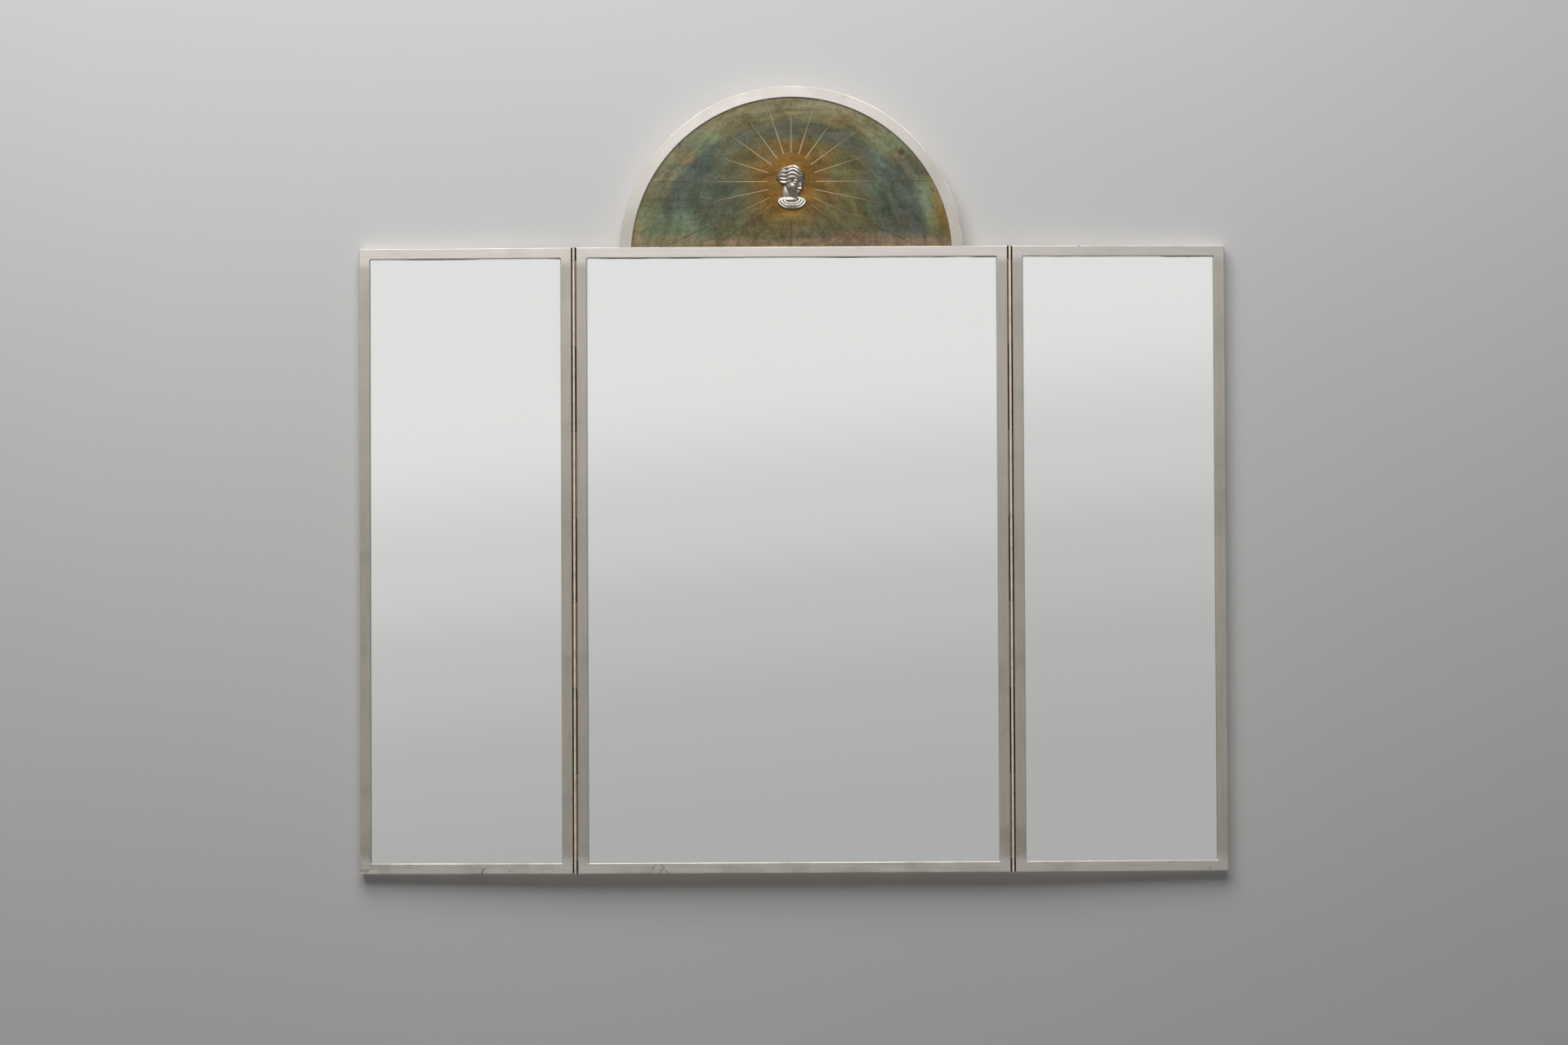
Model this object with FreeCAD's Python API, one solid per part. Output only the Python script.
import FreeCAD, Part
import math
import os

Vector = FreeCAD.Vector

# A wall mirror in three panels. The wings fold forward over the centre panel on long tube hinges.
# +X is the viewer's right, +Z is up and the wall is the plane Y = 0, so the mirrors face -Y.
# The origin lies midway between the entry holes of the two hangers, on the wall.
# Sizes are in millimetres, angles in degrees.

# Panels and their soldered strip frames
CENTRE_WIDTH = 338.0
WING_WIDTH = 167.0
PANEL_HEIGHT = 490.0
FACE_WIDTH = 8.3
STRIP_THICKNESS = 1.5
EDGE_ROUND = 0.6
SIGHT_CORNER_RADIUS = 1.3
WALL_GAP = 6.5

# Mirror glass, packing and boards stacked behind the frames' front lips
GLASS_THICKNESS = 3.0
PACKING_THICKNESS = 1.0
BOARD_THICKNESS = 6.0
BOARD_RECESS = 0.5
FILLING_PLAY = 0.4

# Lunette over the centre panel, with engraved rays in its plate
ARCH_RADIUS = 134.7
ARCH_FACE_WIDTH = 9.1
PLATE_THICKNESS = 1.0
RAY_CENTRE_RISE = 59.6
RAY_RING_RADIUS = 19.0
RAY_RING_RISE = 3.5
RAY_RING_DROP = 11.0
RAY_STEP_ANGLE = 18.0
LOW_RAY_ANGLES = (12.0, 25.0, 36.5, 52.0, 75.0)
SHORT_RAY_SHARE = 0.69
RAY_RIM_GAP = 1.2
RAY_INNER_WIDTH = 0.7
RAY_OUTER_WIDTH = 0.3
RAY_DEPTH = 0.25

# Cast relief head on the lunette plate
HEAD_RISE = 55.6
HEAD_TILT = 14.0
FACE_HALF_WIDTH = 7.6
FACE_HALF_HEIGHT = 11.0
FACE_RELIEF = 5.4
FACE_OFFSET = 1.6
HAIR_HALF_WIDTH = 12.0
HAIR_HALF_HEIGHT = 8.8
HAIR_RELIEF = 6.0
HAIR_RISE = 8.6
NECK_HALF_WIDTH = 4.8
NECK_RELIEF = 3.6
COLLAR_HALF_WIDTH = 10.6
COLLAR_HALF_HEIGHT = 4.4
COLLAR_RELIEF = 4.2
COLLAR_DROP = 13.4
STUD_RADIUS = 1.2
STUD_END_LENGTH = 0.6

# Brass pins through the frame walls into the board edges
PIN_RADIUS = 0.6
PIN_DEPTH = 7.0
PIN_HEAD_RADIUS = 1.3
PIN_HEAD_HEIGHT = 0.7
PIN_HEAD_ROUND = 0.5
PIN_END_INSET = 30.0
CENTRE_BOTTOM_PIN_COUNT = 4
WING_SIDE_PIN_COUNT = 4
WING_END_PIN_COUNT = 2
ARCH_PIN_COUNT = 5
ARCH_PIN_FIRST_ANGLE = 12.5

# Long tube hinges
HINGE_PIN_RADIUS = 0.6
HINGE_PIN_RECESS = 0.5
KNUCKLE_WALL = 0.45
KNUCKLE_SIDE_CLEARANCE = 0.7
KNUCKLE_END_PLAY = 0.3
END_KNUCKLE_LENGTH = 10.5
LONG_KNUCKLE_COUNT = 7
WEB_THICKNESS = 1.0
AXIS_PROUD = 0.2
WING_WALL_CLEARANCE = 0.3

# Cranked keyhole hangers
HANGER_SIDE_INSET = 49.0
HANGER_DROP = 46.0
HANGER_METAL = 1.5
HANGER_BRIDGE_WIDTH = 30.0
HANGER_FOOT_WIDTH = 12.0
HANGER_TOP = 16.0
HANGER_BOTTOM = 10.0
ENTRY_HOLE_RADIUS = 4.5
SLOT_RADIUS = 2.3
SLOT_RISE = 8.0

# Round head screws, washers, nuts and rubber bumpers
SCREW_RADIUS = 1.4
SCREW_TIP_COVER = 1.0
SCREW_HEAD_RADIUS = 2.6
SCREW_HEAD_HEIGHT = 1.6
SCREW_HEAD_ROUND = 0.9
SCREW_SLOT_WIDTH = 0.6
SCREW_SLOT_DEPTH = 0.7
WASHER_RADIUS = 3.2
WASHER_THICKNESS = 0.6
NUT_WIDTH = 4.6
NUT_SIDES = 6
NUT_THICKNESS = 2.0
BUMPER_FOOT_RADIUS = 8.0
BUMPER_TIP_RADIUS = 6.5
BUMPER_INSET = 26.0
BUMPER_SEAT_THICKNESS = 2.6
BUMPER_RECESS_PLAY = 0.8

# Clearances of pins, screws and studs in their holes, and of the hinge pins in their knuckles
HOLE_PLAY = 0.05
STUD_HOLE_PLAY = 0.2
PIVOT_PLAY = 0.05

# Levels along Y, from the front to the wall
frame_back = -WALL_GAP
board_back = frame_back - BOARD_RECESS
board_front = board_back - BOARD_THICKNESS
board_middle = (board_front + board_back) / 2
packing_front = board_front - PACKING_THICKNESS
filling_front = packing_front - GLASS_THICKNESS
front = filling_front - STRIP_THICKNESS
plate_back = filling_front + PLATE_THICKNESS
screw_tip = board_front + SCREW_TIP_COVER
hanger_seat = board_back + HANGER_METAL
bumper_seat = board_back + BUMPER_SEAT_THICKNESS

# How far the mirrors, packing and boards stay inside the panels' outlines
filling_inset = STRIP_THICKNESS + FILLING_PLAY

# Levels along Z
panel_top = HANGER_DROP
panel_bottom = panel_top - PANEL_HEIGHT
arch_centre = panel_top - FACE_WIDTH
ray_centre = arch_centre + RAY_CENTRE_RISE
head_centre = arch_centre + HEAD_RISE

# Hinge tubes and axes
hinge_bore_radius = HINGE_PIN_RADIUS + PIVOT_PLAY
knuckle_radius = hinge_bore_radius + KNUCKLE_WALL
hinge_gap = 2 * (knuckle_radius + KNUCKLE_SIDE_CLEARANCE)
hinge_x = CENTRE_WIDTH / 2 + hinge_gap / 2
hinge_y = front - AXIS_PROUD
wing_centre_x = hinge_x + hinge_gap / 2 + WING_WIDTH / 2

# At rest each wing leans back until its outer corner nearly meets the wall
corner_x = hinge_gap / 2 + WING_WIDTH
corner_y = frame_back - hinge_y
touching_angle = math.asin((-hinge_y - WING_WALL_CLEARANCE) / math.hypot(corner_x, corner_y))
wing_lean = math.degrees(touching_angle - math.atan2(corner_y, corner_x))

# Rounded edges are limited by the metal that carries them
ROUND_LIMIT = 0.9
edge_round = min(EDGE_ROUND, ROUND_LIMIT * STRIP_THICKNESS / 2)
pin_head_round = min(PIN_HEAD_ROUND, ROUND_LIMIT * min(PIN_HEAD_HEIGHT, PIN_HEAD_RADIUS))
screw_head_round = min(SCREW_HEAD_ROUND, ROUND_LIMIT * min(SCREW_HEAD_HEIGHT, SCREW_HEAD_RADIUS))

TOWARDS_WALL = Vector(0, 1, 0)
UP = Vector(0, 0, 1)
SIDES = {"left": -1, "right": 1}


# Basic shapes


def block(x_low, x_high, y_low, y_high, z_low, z_high):
    corner = Vector(x_low, y_low, z_low)
    return Part.makeBox(x_high - x_low, y_high - y_low, z_high - z_low, corner)


def rod(radius, start, end):
    return Part.makeCylinder(radius, (end - start).Length, start, end - start)


def prism(corners, direction):
    face = Part.Face(Part.makePolygon(corners + corners[:1]))
    return face.extrude(direction)


def slab(points, y_low, y_high):
    """A slab between two levels of Y, with an outline of (x, z) points."""
    corners = [Vector(x, y_low, z) for x, z in points]
    return prism(corners, TOWARDS_WALL * (y_high - y_low))


def panel_block(width, inset, y_low, y_high):
    """A block of a panel's outline, drawn in by the inset, about X = 0."""
    half = width / 2 - inset
    return block(-half, half, y_low, y_high, panel_bottom + inset, panel_top - inset)


def half_chord(inset):
    """Half the arch's width at the top rail, drawn in from the arch by the inset."""
    return math.sqrt((ARCH_RADIUS - inset) ** 2 - FACE_WIDTH**2)


def half_disc(inset, y_low, y_high):
    """The lunette's outline above the top rail, drawn in from the arch by the inset."""
    left = Vector(-half_chord(inset), y_low, panel_top)
    right = Vector(half_chord(inset), y_low, panel_top)
    crown = Vector(0, y_low, arch_centre + ARCH_RADIUS - inset)
    bow = Part.Arc(left, crown, right).toShape()
    outline = Part.Wire([bow, Part.makeLine(right, left)])
    return Part.Face(outline).extrude(TOWARDS_WALL * (y_high - y_low))


def edges_along_y(shape):
    """The straight edges of a shape that run from front to back."""
    found = []
    for edge in shape.Edges:
        box = edge.BoundBox
        if box.YLength > max(box.XLength, box.ZLength):
            found.append(edge)
    return found


def edges_at(shape, y):
    """The edges of a shape that lie at one level of Y."""
    return [edge for edge in shape.Edges if max(abs(v.Y - y) for v in edge.Vertexes) < HOLE_PLAY]


def one_solid(shape):
    solids = shape.removeSplitter().Solids
    if len(solids) != 1:
        raise ValueError(f"expected one solid, found {len(solids)}")
    return solids[0]


def spread(count, length):
    """Even places along a length about 0, with both ends left free."""
    usable = length - 2 * PIN_END_INSET
    return [usable * (index / (count - 1) - 0.5) for index in range(count)]


# Frames


def sight_opening(width):
    hole = panel_block(width, FACE_WIDTH, front, filling_front)
    return hole.makeFillet(SIGHT_CORNER_RADIUS, edges_along_y(hole))


def panel_frame(width):
    """A panel's frame with square front edges: front lips and outer walls all round."""
    frame = panel_block(width, 0, front, frame_back)
    frame = frame.cut(panel_block(width, STRIP_THICKNESS, filling_front, frame_back))
    return frame.cut(sight_opening(width))


def wing_frame():
    frame = panel_frame(WING_WIDTH)
    return frame.makeFillet(edge_round, edges_at(frame, front))


def top_edge_rounding(x_low, x_high):
    """What is filed off the top rail's front edge between two places along it."""
    corner = block(x_low, x_high, front, front + edge_round, panel_top - edge_round, panel_top)
    centre_y, centre_z = front + edge_round, panel_top - edge_round
    return corner.cut(rod(edge_round, Vector(x_low, centre_y, centre_z), Vector(x_high, centre_y, centre_z)))


def centre_frame():
    """The centre panel's frame, whose top edge stays square where the arch is soldered on."""
    frame = panel_frame(CENTRE_WIDTH)
    free_edges = [edge for edge in edges_at(frame, front) if edge.BoundBox.ZMin < panel_top - edge_round]
    frame = frame.makeFillet(edge_round, free_edges)
    half, foot_outside, foot_inside = CENTRE_WIDTH / 2, half_chord(0), half_chord(ARCH_FACE_WIDTH)
    stretches = [(-half, -foot_outside), (-foot_inside, foot_inside), (foot_outside, half)]
    return frame.cut([top_edge_rounding(x_low, x_high) for x_low, x_high in stretches])


def arch_strip():
    arch = half_disc(0, front, frame_back)
    arch = arch.cut(half_disc(STRIP_THICKNESS, filling_front, frame_back))
    arch = arch.cut(half_disc(ARCH_FACE_WIDTH, front, filling_front))
    bows = [edge for edge in edges_at(arch, front) if edge.BoundBox.XLength > ARCH_RADIUS]
    return arch.makeFillet(edge_round, bows)


def panel_corners(width, inset):
    """A panel's corners as (x, z) points, drawn in by the inset, clockwise from the top left."""
    half = width / 2 - inset
    top, bottom = panel_top - inset, panel_bottom + inset
    return [(-half, top), (half, top), (half, bottom), (-half, bottom)]


def mitred_strips(frame, width):
    """A panel's frame sawn at its mitres into four strips."""
    outer = panel_corners(width, 0)
    inner = panel_corners(width, FACE_WIDTH + SIGHT_CORNER_RADIUS)
    strips = {}
    for index, name in enumerate(("top", "right", "bottom", "left")):
        following = (index + 1) % len(outer)
        outline = [outer[index], outer[following], inner[following], inner[index]]
        strips[name] = one_solid(frame.common(slab(outline, front, frame_back)))
    return strips


# Brass pins: each is a place on a frame's outer wall and the direction in which it is driven


def wing_pin_places(side):
    outer = side * WING_WIDTH / 2
    middle = (panel_top + panel_bottom) / 2
    places = [
        (Vector(outer, board_middle, middle + rise), Vector(-side, 0, 0))
        for rise in spread(WING_SIDE_PIN_COUNT, PANEL_HEIGHT)
    ]
    for x in spread(WING_END_PIN_COUNT, WING_WIDTH):
        places.append((Vector(x, board_middle, panel_top), -UP))
        places.append((Vector(x, board_middle, panel_bottom), UP))
    return places


def centre_pin_places():
    shoulder_x = (ARCH_RADIUS + CENTRE_WIDTH / 2) / 2
    places = [(Vector(x, board_middle, panel_top), -UP) for x in (-shoulder_x, shoulder_x)]
    for x in spread(CENTRE_BOTTOM_PIN_COUNT, CENTRE_WIDTH):
        places.append((Vector(x, board_middle, panel_bottom), UP))
    return places


def arch_pin_places():
    step = (180.0 - 2 * ARCH_PIN_FIRST_ANGLE) / (ARCH_PIN_COUNT - 1)
    places = []
    for index in range(ARCH_PIN_COUNT):
        angle = math.radians(ARCH_PIN_FIRST_ANGLE + index * step)
        outward = Vector(math.cos(angle), 0, math.sin(angle))
        places.append((Vector(0, board_middle, arch_centre) + outward * ARCH_RADIUS, -outward))
    return places


def board_pin(place, inward):
    crown = place - inward * PIN_HEAD_HEIGHT
    head = rod(PIN_HEAD_RADIUS, place, crown)
    rim = [edge for edge in head.Edges if edge.CenterOfMass.isEqual(crown, HOLE_PLAY)]
    head = head.makeFillet(pin_head_round, rim)
    return one_solid(head.fuse(rod(PIN_RADIUS, place, place + inward * PIN_DEPTH)))


def board_pins(places):
    return Part.makeCompound([board_pin(place, inward) for place, inward in places])


def pin_drill(place, inward):
    """The hole for one pin, through the frame's wall and into the board's edge."""
    depth = PIN_DEPTH + HOLE_PLAY
    return rod(PIN_RADIUS + HOLE_PLAY, place - inward * PIN_HEAD_HEIGHT, place + inward * depth)


def drilled(shape, places):
    for place, inward in places:
        shape = shape.cut(pin_drill(place, inward))
    return shape


# Mirrors, packing and boards


def mirror_glass(width):
    return panel_block(width, filling_inset, filling_front, packing_front)


def packing_sheet(width):
    return panel_block(width, filling_inset, packing_front, board_front)


def back_board(width, pin_places):
    return drilled(panel_block(width, filling_inset, board_front, board_back), pin_places)


# Lunette


def stud_places():
    """The two studs of the relief head, as points on the lunette plate's face."""
    rises = (HAIR_RISE, -COLLAR_DROP)
    return [Vector(0, filling_front, head_centre + rise) for rise in rises]


def stud_holes():
    radius = STUD_RADIUS + STUD_HOLE_PLAY
    return [rod(radius, place, Vector(place.x, board_back, place.z)) for place in stud_places()]


def ray_reach(start, along):
    """How far the visible plate runs on from a point in one direction."""
    from_arch = start - Vector(0, filling_front, arch_centre)
    towards_rim = from_arch.dot(along)
    visible_radius = ARCH_RADIUS - ARCH_FACE_WIDTH
    rim_distance = math.sqrt(towards_rim**2 - from_arch.dot(from_arch) + visible_radius**2) - towards_rim
    if along.z >= 0:
        return rim_distance
    return min(rim_distance, (from_arch.z - FACE_WIDTH) / -along.z)


def ray_groove(degrees, is_long):
    """One tapered groove that springs from the oval ring round the head."""
    angle = math.radians(degrees)
    along = Vector(math.cos(angle), 0, math.sin(angle))
    ring_height = RAY_RING_RADIUS + (RAY_RING_RISE if along.z > 0 else RAY_RING_DROP)
    start = Vector(RAY_RING_RADIUS * along.x, filling_front, ray_centre + ring_height * along.z)
    reach = ray_reach(start, along)
    length = reach - RAY_RIM_GAP if is_long else reach * SHORT_RAY_SHARE
    points = []
    for distance, half_width in (
        (0.0, RAY_INNER_WIDTH / 2),
        (length, RAY_OUTER_WIDTH / 2),
        (length, -RAY_OUTER_WIDTH / 2),
        (0.0, -RAY_INNER_WIDTH / 2),
    ):
        x = start.x + distance * along.x - half_width * along.z
        z = start.z + distance * along.z + half_width * along.x
        points.append((x, z))
    return slab(points, filling_front, filling_front + RAY_DEPTH)


def ray_grooves():
    """Long and short rays by turns above the head. Below it only the flattest pair is short."""
    steps = round(180.0 / RAY_STEP_ANGLE)
    grooves = [ray_groove(index * RAY_STEP_ANGLE, index % 2 == 0) for index in range(steps + 1)]
    for index, angle in enumerate(LOW_RAY_ANGLES):
        is_long = index > 0
        grooves.append(ray_groove(-angle, is_long))
        grooves.append(ray_groove(180.0 + angle, is_long))
    grooves.append(ray_groove(-90.0, True))
    return grooves


def lunette_plate():
    plate = half_disc(filling_inset, filling_front, plate_back)
    return one_solid(plate.cut(ray_grooves() + stud_holes()))


def lunette_packing():
    sheet = half_disc(filling_inset, plate_back, board_front)
    return one_solid(sheet.cut(stud_holes()))


def lunette_board():
    board = half_disc(filling_inset, board_front, board_back)
    return one_solid(drilled(board.cut(stud_holes()), arch_pin_places()))


# Relief head


def relief_mound(x, rise, half_width, half_height, relief, tilt):
    """Half an ellipsoid that stands on the plate, turned in the plate's plane."""
    sizes = FreeCAD.Matrix()
    sizes.scale(half_width, relief, half_height)
    mound = Part.makeSphere(1.0).transformGeometry(sizes)
    mound.rotate(Vector(0, 0, 0), TOWARDS_WALL, tilt)
    mound.translate(Vector(x, filling_front, head_centre + rise))
    box = mound.BoundBox
    in_front = block(box.XMin, box.XMax, box.YMin, filling_front, box.ZMin, box.ZMax)
    return mound.common(in_front)


def relief_stud(place):
    length = board_back + WASHER_THICKNESS + NUT_THICKNESS + STUD_END_LENGTH - filling_front
    rooted = place - TOWARDS_WALL * STUD_RADIUS
    return rod(STUD_RADIUS, rooted, place + TOWARDS_WALL * length)


def relief_head():
    neck_middle = (HAIR_RISE - COLLAR_DROP) / 2
    neck_half = (HAIR_RISE + COLLAR_DROP) / 2
    hair = relief_mound(0, HAIR_RISE, HAIR_HALF_WIDTH, HAIR_HALF_HEIGHT, HAIR_RELIEF, HEAD_TILT)
    mounds = [
        relief_mound(FACE_OFFSET, 0, FACE_HALF_WIDTH, FACE_HALF_HEIGHT, FACE_RELIEF, HEAD_TILT),
        relief_mound(-FACE_OFFSET, neck_middle, NECK_HALF_WIDTH, neck_half, NECK_RELIEF, 0),
        relief_mound(0, -COLLAR_DROP, COLLAR_HALF_WIDTH, COLLAR_HALF_HEIGHT, COLLAR_RELIEF, 0),
    ]
    return one_solid(hair.fuse(mounds + [relief_stud(place) for place in stud_places()]))


def relief_washers():
    washers = []
    for place in stud_places():
        start = Vector(place.x, board_back, place.z)
        end = start + TOWARDS_WALL * WASHER_THICKNESS
        washers.append(rod(WASHER_RADIUS, start, end).cut(rod(STUD_RADIUS + HOLE_PLAY, start, end)))
    return Part.makeCompound(washers)


def nut_corners(centre):
    half_angle = math.pi / NUT_SIDES
    radius = NUT_WIDTH / 2 / math.cos(half_angle)
    corners = []
    for index in range(NUT_SIDES):
        angle = 2 * half_angle * index
        corners.append(centre + Vector(radius * math.cos(angle), 0, radius * math.sin(angle)))
    return corners


def relief_nuts():
    nuts = []
    for place in stud_places():
        start = Vector(place.x, board_back + WASHER_THICKNESS, place.z)
        body = prism(nut_corners(start), TOWARDS_WALL * NUT_THICKNESS)
        thread = rod(STUD_RADIUS + HOLE_PLAY, start, start + TOWARDS_WALL * NUT_THICKNESS)
        nuts.append(body.cut(thread))
    return Part.makeCompound(nuts)


# Wall fittings on the back of the centre board


def round_head_screw(x, seat_y, z):
    """A slotted screw whose head sits on a seat and whose tip stays inside the board."""
    seat = Vector(x, seat_y, z)
    top = seat + TOWARDS_WALL * SCREW_HEAD_HEIGHT
    head = rod(SCREW_HEAD_RADIUS, seat, top)
    head = head.makeFillet(screw_head_round, edges_at(head, top.y))
    slot_floor = top.y - SCREW_SLOT_DEPTH
    half_slot = SCREW_SLOT_WIDTH / 2
    reach = SCREW_HEAD_RADIUS
    head = head.cut(block(x - reach, x + reach, slot_floor, top.y, z - half_slot, z + half_slot))
    return one_solid(head.fuse(rod(SCREW_RADIUS, Vector(x, screw_tip, z), seat)))


def screw_drill(x, y_high, z):
    """The hole for one screw, from its tip to a level nearer the wall."""
    floor = Vector(x, screw_tip - HOLE_PLAY, z)
    return rod(SCREW_RADIUS + HOLE_PLAY, floor, Vector(x, y_high, z))


def hanger_x(side):
    return side * (CENTRE_WIDTH / 2 - HANGER_SIDE_INSET)


def hanger_screw_places():
    reach = (HANGER_BRIDGE_WIDTH + HANGER_FOOT_WIDTH) / 2
    height = (HANGER_TOP - HANGER_BOTTOM) / 2
    return [(hanger_x(side) + end * reach, height) for side in SIDES.values() for end in (-1, 1)]


def hanger_plate(side):
    """A strip with two feet on the board and a bridge on the wall, with a keyhole in the bridge."""
    half_bridge = HANGER_BRIDGE_WIDTH / 2
    half_space = half_bridge - HANGER_METAL
    half_length = half_bridge + HANGER_FOOT_WIDTH
    half_outline = [
        (half_space, -HANGER_METAL),
        (half_space, board_back),
        (half_length, board_back),
        (half_length, hanger_seat),
        (half_bridge, hanger_seat),
        (half_bridge, 0),
    ]
    outline = half_outline + [(-x, y) for x, y in reversed(half_outline)]
    x_middle = hanger_x(side)
    corners = [Vector(x_middle + x, y, -HANGER_BOTTOM) for x, y in outline]
    plate = prism(corners, UP * (HANGER_TOP + HANGER_BOTTOM))
    entry_start, entry_end = Vector(x_middle, -HANGER_METAL, 0), Vector(x_middle, 0, 0)
    entry = rod(ENTRY_HOLE_RADIUS, entry_start, entry_end)
    slot_end = rod(SLOT_RADIUS, entry_start + UP * SLOT_RISE, entry_end + UP * SLOT_RISE)
    slot = block(x_middle - SLOT_RADIUS, x_middle + SLOT_RADIUS, -HANGER_METAL, 0, 0, SLOT_RISE)
    screw_holes = [screw_drill(x, hanger_seat, z) for x, z in hanger_screw_places()]
    return one_solid(plate.cut([entry, slot_end, slot] + screw_holes))


def hanger_screws():
    return Part.makeCompound([round_head_screw(x, hanger_seat, z) for x, z in hanger_screw_places()])


def bumper_places():
    reach = CENTRE_WIDTH / 2 - BUMPER_INSET
    return [(side * reach, panel_bottom + BUMPER_INSET) for side in SIDES.values()]


def wall_bumpers():
    bumpers = []
    for x, z in bumper_places():
        foot = Vector(x, board_back, z)
        seat = Vector(x, bumper_seat, z)
        tip = Vector(x, 0, z)
        body = Part.makeCone(BUMPER_FOOT_RADIUS, BUMPER_TIP_RADIUS, -board_back, foot, TOWARDS_WALL)
        recess = rod(SCREW_HEAD_RADIUS + BUMPER_RECESS_PLAY, seat, tip)
        bumpers.append(one_solid(body.cut([recess, screw_drill(x, bumper_seat, z)])))
    return Part.makeCompound(bumpers)


def bumper_screws():
    return Part.makeCompound([round_head_screw(x, bumper_seat, z) for x, z in bumper_places()])


def centre_board():
    board = back_board(CENTRE_WIDTH, centre_pin_places())
    screw_places = hanger_screw_places() + bumper_places()
    return one_solid(board.cut([screw_drill(x, board_back, z) for x, z in screw_places]))


# Hinges


def knuckle_levels():
    """The knuckles' ends from the bottom up: a short one, the long ones and a short one."""
    long_length = (PANEL_HEIGHT - 2 * END_KNUCKLE_LENGTH) / LONG_KNUCKLE_COUNT
    first = panel_bottom + END_KNUCKLE_LENGTH
    breaks = [first + long_length * index for index in range(LONG_KNUCKLE_COUNT + 1)]
    return list(zip([panel_bottom] + breaks, breaks + [panel_top]))


def knuckle(side, z_low, z_high, web_x):
    """A length of tube with a web back to the frame it belongs to."""
    low = Vector(side * hinge_x, hinge_y, z_low)
    high = Vector(side * hinge_x, hinge_y, z_high)
    x_low, x_high = sorted((side * hinge_x, web_x))
    web_front = front + edge_round
    web = block(x_low, x_high, web_front, web_front + WEB_THICKNESS, z_low, z_high)
    tube = rod(knuckle_radius, low, high).fuse(web)
    return one_solid(tube.cut(rod(hinge_bore_radius, low, high)))


def knuckles(side, first, web_x):
    """Every second knuckle of a hinge, counted from the bottom."""
    half_play = KNUCKLE_END_PLAY / 2
    tubes = []
    for z_low, z_high in knuckle_levels()[first::2]:
        low = z_low if z_low == panel_bottom else z_low + half_play
        high = z_high if z_high == panel_top else z_high - half_play
        tubes.append(knuckle(side, low, high, web_x))
    return Part.makeCompound(tubes)


def frame_knuckles(side):
    return knuckles(side, 0, side * CENTRE_WIDTH / 2)


def wing_knuckles(side):
    return knuckles(side, 1, side * (hinge_x + hinge_gap / 2))


def hinge_pin(side):
    low = Vector(side * hinge_x, hinge_y, panel_bottom + HINGE_PIN_RECESS)
    high = Vector(side * hinge_x, hinge_y, panel_top - HINGE_PIN_RECESS)
    return rod(HINGE_PIN_RADIUS, low, high)


# Assembly


def leaned_back(shape, side):
    return shape.rotated(Vector(side * hinge_x, hinge_y, 0), UP, side * wing_lean)


def centre_nodes():
    strips = mitred_strips(drilled(centre_frame(), centre_pin_places()), CENTRE_WIDTH)
    nodes = {
        "centre_top_rail": strips["top"],
        "centre_bottom_rail": strips["bottom"],
        "centre_left_stile": strips["left"],
        "centre_right_stile": strips["right"],
        "centre_mirror_glass": mirror_glass(CENTRE_WIDTH),
        "centre_packing_sheet": packing_sheet(CENTRE_WIDTH),
        "centre_back_board": centre_board(),
        "centre_board_pins": board_pins(centre_pin_places()),
        "lunette_arch_rail": one_solid(drilled(arch_strip(), arch_pin_places())),
        "lunette_plate": lunette_plate(),
        "lunette_packing_sheet": lunette_packing(),
        "lunette_back_board": lunette_board(),
        "lunette_board_pins": board_pins(arch_pin_places()),
        "relief_head": relief_head(),
        "relief_washers": relief_washers(),
        "relief_nuts": relief_nuts(),
        "hanger_screws": hanger_screws(),
        "wall_bumpers": wall_bumpers(),
        "bumper_screws": bumper_screws(),
    }
    for name, side in SIDES.items():
        nodes[f"{name}_hanger_plate"] = hanger_plate(side)
        nodes[f"{name}_hinge_frame_knuckles"] = frame_knuckles(side)
        nodes[f"{name}_hinge_pin"] = hinge_pin(side)
    return nodes


def wing_nodes(name, side):
    pin_places = wing_pin_places(side)
    strips = mitred_strips(drilled(wing_frame(), pin_places), WING_WIDTH)
    inner, outer = ("right", "left") if side < 0 else ("left", "right")
    panel = {
        "top_rail": strips["top"],
        "bottom_rail": strips["bottom"],
        "inner_stile": strips[inner],
        "outer_stile": strips[outer],
        "mirror_glass": mirror_glass(WING_WIDTH),
        "packing_sheet": packing_sheet(WING_WIDTH),
        "back_board": one_solid(back_board(WING_WIDTH, pin_places)),
        "board_pins": board_pins(pin_places),
    }
    to_place = Vector(side * wing_centre_x, 0, 0)
    nodes = {
        f"{name}_wing_{piece}": leaned_back(shape.translated(to_place), side)
        for piece, shape in panel.items()
    }
    nodes[f"{name}_hinge_wing_knuckles"] = leaned_back(wing_knuckles(side), side)
    return nodes


def build():
    nodes = centre_nodes()
    for name, side in SIDES.items():
        nodes.update(wing_nodes(name, side))
    os.makedirs("parts", exist_ok=True)
    for name, shape in nodes.items():
        shape.exportStep(f"parts/{name}.step")
    print(f"{len(nodes)} nodes, wings lean back {wing_lean:.3f} degrees")
    print(f"hinge axes at X {hinge_x:.3f} and Y {hinge_y:.3f}, panels from Z {panel_bottom} to {panel_top}")


build()
